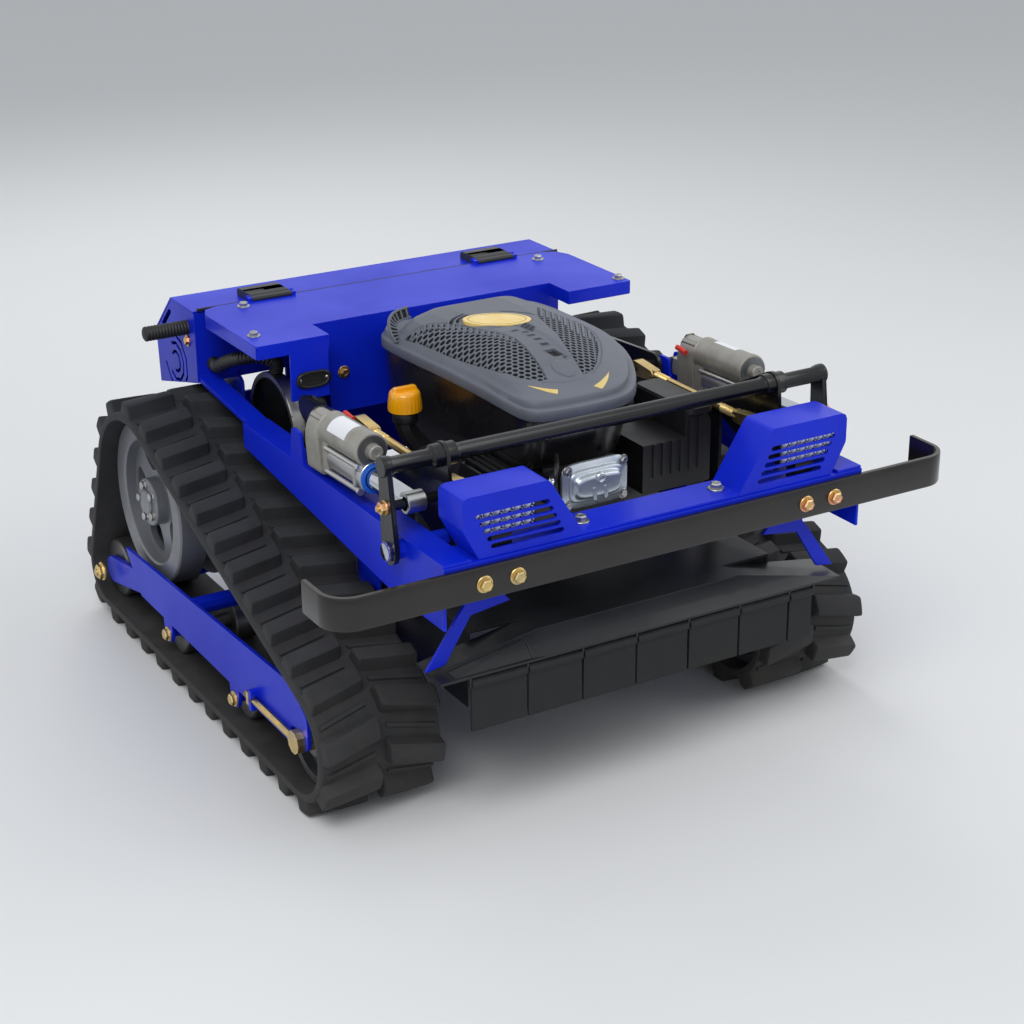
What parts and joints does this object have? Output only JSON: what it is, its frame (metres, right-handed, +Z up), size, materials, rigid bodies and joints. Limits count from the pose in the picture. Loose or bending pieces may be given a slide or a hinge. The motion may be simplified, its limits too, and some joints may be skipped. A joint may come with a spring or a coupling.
{
  "type": "remote control slope mower",
  "caption": "Low tracked mower: triangular rubber tracks, blue frame, engine on a deck that a lever linkage lifts, rear control box with hinged lid.",
  "frame": {"origin": "on the ground, under the middle of the machine's bounding box", "axes": "+Z up; the machine faces -Y; +X is the machine's own left, the right-hand side of the picture"},
  "size_m": [1.09, 1.149, 0.64],
  "materials": {
    "blue_paint": "royal blue gloss powder coat",
    "black_paint": "gloss black paint",
    "rubber": "matt moulded rubber",
    "shroud_grey": "fine-grained moulded plastic",
    "black_plastic": "black moulded plastic",
    "orange_plastic": "smooth orange plastic",
    "cast_aluminium": "as-cast aluminium",
    "chrome": "bright plating",
    "yellow_zinc": "yellow passivated zinc",
    "steel": "turned steel",
    "lens": "clear lamp lens over reflectors"
  },
  "bodies": {
    "chassis": {"main_frame": "blue_paint", "front_panel": "blue_paint", "bumper": "black_paint", "rear_box": "blue_paint", "cover_plate": "blue_paint", "charge_socket": "black_plastic", "battery": "black_plastic", "motor_controller": "cast_aluminium", "fuel_tank": "black_plastic", "carry_grip": "rubber", "motor_conduit": "black_plastic", "left_work_lamp": "lens", "left_drive_unit": "black_paint", "left_track_frame": "blue_paint", "left_track_belt": "rubber", "right_work_lamp": "lens", "right_drive_unit": "black_paint", "right_track_frame": "blue_paint", "right_track_belt": "rubber"},
    "lid": {"rear_box_lid": "blue_paint", "left_lid_hinge": "black_plastic", "right_lid_hinge": "black_plastic"},
    "lift": {"lift_frame": "black_paint"},
    "deck": {"deck_shell": "black_paint", "crankcase": "cast_aluminium", "engine_shroud": "shroud_grey", "valve_cover": "chrome", "air_filter_box": "black_plastic", "muffler": "black_paint", "oil_filler_tube": "black_plastic"},
    "oil_cap": {"oil_filler_cap": "orange_plastic"},
    "blade": {"blade_spindle": "steel"},
    "left_drive_wheel": {"left_drive_wheel": "steel"},
    "left_idler_axle": {"left_idler_axle": "yellow_zinc"},
    "left_front_idler": {"left_front_idler": "steel"},
    "left_rear_roller": {"left_rear_roller": "steel"},
    "left_road_roller_1": {"left_road_roller_1": "steel"},
    "left_road_roller_2": {"left_road_roller_2": "steel"},
    "left_rear_crank": {"left_rear_crank": "black_paint"},
    "left_tie_rod": {"left_tie_rod": "yellow_zinc"},
    "left_actuator_body": {"left_actuator_body": "cast_aluminium"},
    "left_actuator_rod": {"left_actuator_rod": "chrome"},
    "right_drive_wheel": {"right_drive_wheel": "steel"},
    "right_idler_axle": {"right_idler_axle": "yellow_zinc"},
    "right_front_idler": {"right_front_idler": "steel"},
    "right_rear_roller": {"right_rear_roller": "steel"},
    "right_road_roller_1": {"right_road_roller_1": "steel"},
    "right_road_roller_2": {"right_road_roller_2": "steel"},
    "right_rear_crank": {"right_rear_crank": "black_paint"},
    "right_tie_rod": {"right_tie_rod": "yellow_zinc"},
    "right_actuator_body": {"right_actuator_body": "cast_aluminium"},
    "right_actuator_rod": {"right_actuator_rod": "chrome"},
    "flap_1": {"flap_1": "rubber"},
    "flap_2": {"flap_2": "rubber"},
    "flap_3": {"flap_3": "rubber"},
    "flap_4": {"flap_4": "rubber"},
    "flap_5": {"flap_5": "rubber"},
    "flap_6": {"flap_6": "rubber"},
    "flap_7": {"flap_7": "rubber"}
  },
  "joints": [
    {"name": "lid_hinge", "type": "hinge", "parent": "chassis", "child": "lid", "pos_m": [0, 0.311, 0.611], "axis": [1, 0, 0], "range_deg": [0, 100]},
    {"name": "deck_lift", "type": "hinge", "parent": "chassis", "child": "lift", "pos_m": [0, -0.44, 0.447], "axis": [1, 0, 0], "range_deg": [-36, 0]},
    {"name": "deck_hang", "type": "hinge", "parent": "lift", "child": "deck", "pos_m": [0, -0.301, 0.5045], "axis": [1, 0, 0], "range_deg": [0, 36]},
    {"name": "oil_cap_turn", "type": "hinge", "parent": "deck", "child": "oil_cap", "pos_m": [-0.168, -0.078, 0.52], "axis": [0, 0, 1], "range_deg": [0, 90]},
    {"name": "blade_spin", "type": "hinge", "parent": "deck", "child": "blade", "pos_m": [0.01, -0.07, 0.18], "axis": [0, 0, 1], "continuous": true},
    {"name": "left_drive_spin", "type": "hinge", "parent": "chassis", "child": "left_drive_wheel", "pos_m": [0.4, 0.307, 0.28], "axis": [1, 0, 0], "continuous": true},
    {"name": "left_track_tension", "type": "slide", "parent": "chassis", "child": "left_idler_axle", "axis": [0, 1, 0], "range_m": [0, 0.015]},
    {"name": "left_idler_spin", "type": "hinge", "parent": "left_idler_axle", "child": "left_front_idler", "pos_m": [0.4, -0.325, 0.117], "axis": [1, 0, 0], "continuous": true},
    {"name": "left_roller_spin", "type": "hinge", "parent": "chassis", "child": "left_rear_roller", "pos_m": [0.4, 0.485, 0.09], "axis": [1, 0, 0], "continuous": true},
    {"name": "left_road_roller_1_spin", "type": "hinge", "parent": "chassis", "child": "left_road_roller_1", "pos_m": [0.4, -0.075, 0.076], "axis": [1, 0, 0], "continuous": true},
    {"name": "left_road_roller_2_spin", "type": "hinge", "parent": "chassis", "child": "left_road_roller_2", "pos_m": [0.4, 0.205, 0.076], "axis": [1, 0, 0], "continuous": true},
    {"name": "left_rear_crank_turn", "type": "hinge", "parent": "chassis", "child": "left_rear_crank", "pos_m": [0.293, -0.11, 0.447], "axis": [1, 0, 0], "range_deg": [-36, 0]},
    {"name": "left_tie_rod_turn", "type": "hinge", "parent": "lift", "child": "left_tie_rod", "pos_m": [0.262, -0.436, 0.513], "axis": [1, 0, 0], "range_deg": [0, 36]},
    {"name": "left_actuator_pivot", "type": "hinge", "parent": "chassis", "child": "left_actuator_body", "pos_m": [0.345, -0.085, 0.5], "axis": [1, 0, 0], "range_deg": [0, 3]},
    {"name": "left_actuator_stroke", "type": "slide", "parent": "left_actuator_body", "child": "left_actuator_rod", "axis": [0, 0.9993, -0.037], "range_m": [0, 0.04]},
    {"name": "right_drive_spin", "type": "hinge", "parent": "chassis", "child": "right_drive_wheel", "pos_m": [-0.4, 0.307, 0.28], "axis": [1, 0, 0], "continuous": true},
    {"name": "right_track_tension", "type": "slide", "parent": "chassis", "child": "right_idler_axle", "axis": [0, 1, 0], "range_m": [0, 0.015]},
    {"name": "right_idler_spin", "type": "hinge", "parent": "right_idler_axle", "child": "right_front_idler", "pos_m": [-0.4, -0.325, 0.117], "axis": [1, 0, 0], "continuous": true},
    {"name": "right_roller_spin", "type": "hinge", "parent": "chassis", "child": "right_rear_roller", "pos_m": [-0.4, 0.485, 0.09], "axis": [1, 0, 0], "continuous": true},
    {"name": "right_road_roller_1_spin", "type": "hinge", "parent": "chassis", "child": "right_road_roller_1", "pos_m": [-0.4, -0.075, 0.076], "axis": [1, 0, 0], "continuous": true},
    {"name": "right_road_roller_2_spin", "type": "hinge", "parent": "chassis", "child": "right_road_roller_2", "pos_m": [-0.4, 0.205, 0.076], "axis": [1, 0, 0], "continuous": true},
    {"name": "right_rear_crank_turn", "type": "hinge", "parent": "chassis", "child": "right_rear_crank", "pos_m": [-0.293, -0.11, 0.447], "axis": [1, 0, 0], "range_deg": [-36, 0]},
    {"name": "right_tie_rod_turn", "type": "hinge", "parent": "lift", "child": "right_tie_rod", "pos_m": [-0.262, -0.436, 0.513], "axis": [1, 0, 0], "range_deg": [0, 36]},
    {"name": "right_actuator_pivot", "type": "hinge", "parent": "chassis", "child": "right_actuator_body", "pos_m": [-0.345, -0.085, 0.5], "axis": [1, 0, 0], "range_deg": [0, 3]},
    {"name": "right_actuator_stroke", "type": "slide", "parent": "right_actuator_body", "child": "right_actuator_rod", "axis": [0, 0.9993, -0.037], "range_m": [0, 0.04]},
    {"name": "flap_1_swing", "type": "hinge", "parent": "deck", "child": "flap_1", "pos_m": [0, -0.535, 0.256], "axis": [1, 0, 0], "range_deg": [-75, 50]},
    {"name": "flap_2_swing", "type": "hinge", "parent": "deck", "child": "flap_2", "pos_m": [0, -0.535, 0.256], "axis": [1, 0, 0], "range_deg": [-75, 50]},
    {"name": "flap_3_swing", "type": "hinge", "parent": "deck", "child": "flap_3", "pos_m": [0, -0.535, 0.256], "axis": [1, 0, 0], "range_deg": [-75, 50]},
    {"name": "flap_4_swing", "type": "hinge", "parent": "deck", "child": "flap_4", "pos_m": [0, -0.535, 0.256], "axis": [1, 0, 0], "range_deg": [-75, 50]},
    {"name": "flap_5_swing", "type": "hinge", "parent": "deck", "child": "flap_5", "pos_m": [0, -0.535, 0.256], "axis": [1, 0, 0], "range_deg": [-75, 50]},
    {"name": "flap_6_swing", "type": "hinge", "parent": "deck", "child": "flap_6", "pos_m": [0, -0.535, 0.256], "axis": [1, 0, 0], "range_deg": [-75, 50]},
    {"name": "flap_7_swing", "type": "hinge", "parent": "deck", "child": "flap_7", "pos_m": [0, -0.535, 0.256], "axis": [1, 0, 0], "range_deg": [-75, 50]}
  ],
  "couplings": [
    {"joint": "deck_hang", "follows": "deck_lift", "ratio": -1},
    {"joint": "left_idler_spin", "follows": "left_drive_spin", "ratio": 1.8272},
    {"joint": "left_roller_spin", "follows": "left_drive_spin", "ratio": 2.7407},
    {"joint": "left_road_roller_1_spin", "follows": "left_drive_spin", "ratio": 3.7},
    {"joint": "left_road_roller_2_spin", "follows": "left_drive_spin", "ratio": 3.7},
    {"joint": "left_rear_crank_turn", "follows": "deck_lift", "ratio": 1},
    {"joint": "left_tie_rod_turn", "follows": "deck_lift", "ratio": -1},
    {"joint": "left_actuator_pivot", "follows": "deck_lift", "ratio": -0.0581},
    {"joint": "left_actuator_stroke", "follows": "deck_lift", "m_per_rad": -0.06207},
    {"joint": "right_idler_spin", "follows": "right_drive_spin", "ratio": 1.8272},
    {"joint": "right_roller_spin", "follows": "right_drive_spin", "ratio": 2.7407},
    {"joint": "right_road_roller_1_spin", "follows": "right_drive_spin", "ratio": 3.7},
    {"joint": "right_road_roller_2_spin", "follows": "right_drive_spin", "ratio": 3.7},
    {"joint": "right_rear_crank_turn", "follows": "deck_lift", "ratio": 1},
    {"joint": "right_tie_rod_turn", "follows": "deck_lift", "ratio": -1},
    {"joint": "right_actuator_pivot", "follows": "deck_lift", "ratio": -0.0581},
    {"joint": "right_actuator_stroke", "follows": "deck_lift", "m_per_rad": -0.06207}
  ]
}
